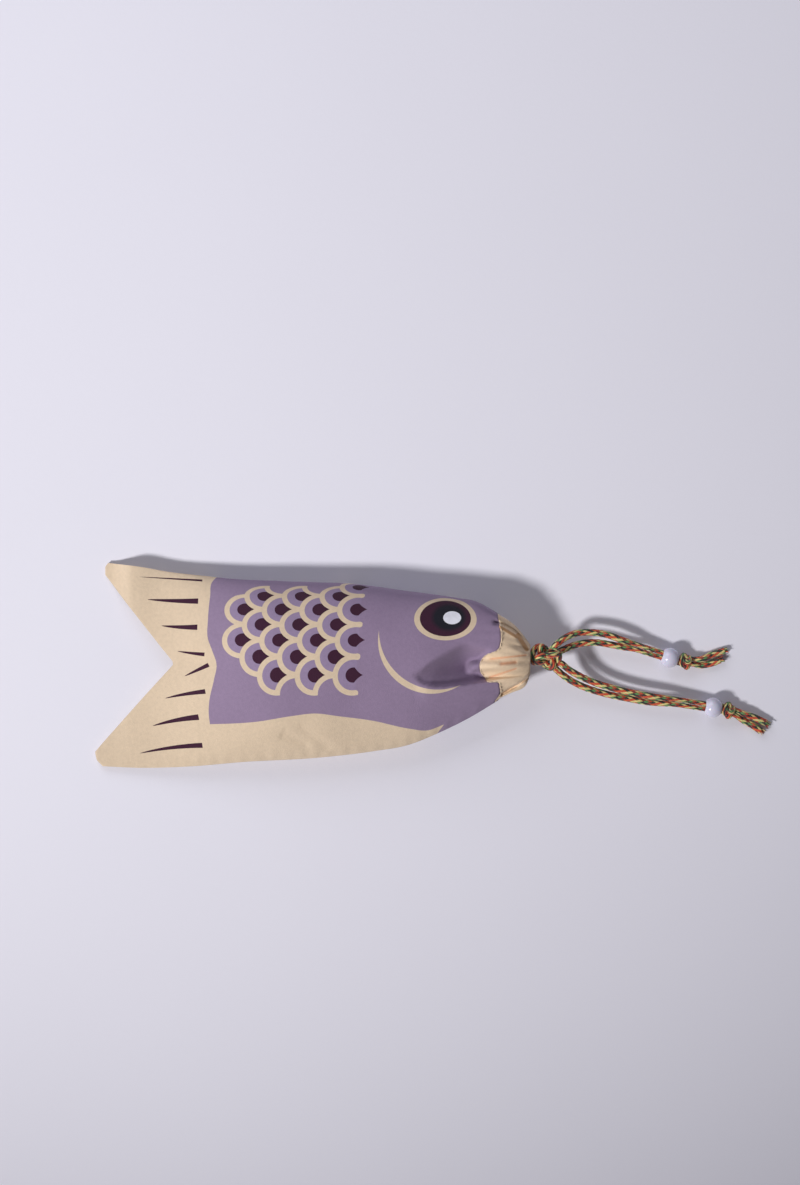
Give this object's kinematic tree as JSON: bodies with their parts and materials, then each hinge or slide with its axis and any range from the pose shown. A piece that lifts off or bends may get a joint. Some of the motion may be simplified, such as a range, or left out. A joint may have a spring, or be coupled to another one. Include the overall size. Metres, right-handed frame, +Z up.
{
  "type": "carp-shaped drawstring pouch",
  "caption": "Filled carp-shaped cloth pouch with a V-cut tail, its mouth gathered shut by knotted braided drawcords with sliding beads.",
  "frame": {"origin": "bottom centre of the pouch's bounding box, cords and beads left out, on the surface the pouch lies on", "axes": "+X from the tail to the mouth, +Y towards the fish's back, +Z up from the surface it lies on"},
  "size_m": [0.336, 0.1022, 0.0319],
  "materials": {
    "printed_cloth": "matt printed cotton",
    "casing_cloth": "matt plain cotton",
    "wadding": "soft fibre",
    "sewing_thread": "spun thread",
    "braided_cord": "braided cord in mixed colours",
    "bead_plastic": "gloss"
  },
  "bodies": {
    "pouch": {"printed_body_cloth": "printed_cloth", "casing_band_upper": "casing_cloth", "casing_band_under": "casing_cloth", "wadding": "wadding", "belly_seam_thread": "sewing_thread", "tail_seam_thread": "sewing_thread", "casing_seam_thread_upper": "sewing_thread", "casing_seam_thread_under": "sewing_thread", "drawcord_a_in_casing": "braided_cord", "drawcord_b_in_casing": "braided_cord", "mouth_knot": "braided_cord", "cord_a_strand_upper": "braided_cord", "cord_a_strand_lower": "braided_cord", "cord_b_strand_upper": "braided_cord", "cord_b_strand_lower": "braided_cord", "end_knot_a": "braided_cord", "end_knot_b": "braided_cord"},
    "bead_a": {"bead_a": "bead_plastic"},
    "bead_b": {"bead_b": "bead_plastic"}
  },
  "joints": [
    {"name": "bead_a_slide", "type": "slide", "parent": "pouch", "child": "bead_a", "axis": [-0.9485, 0.2972, 0.1093], "range_m": [0, 0.0115]},
    {"name": "bead_b_slide", "type": "slide", "parent": "pouch", "child": "bead_b", "axis": [-0.9823, 0.1521, 0.1093], "range_m": [0, 0.0115]}
  ]
}
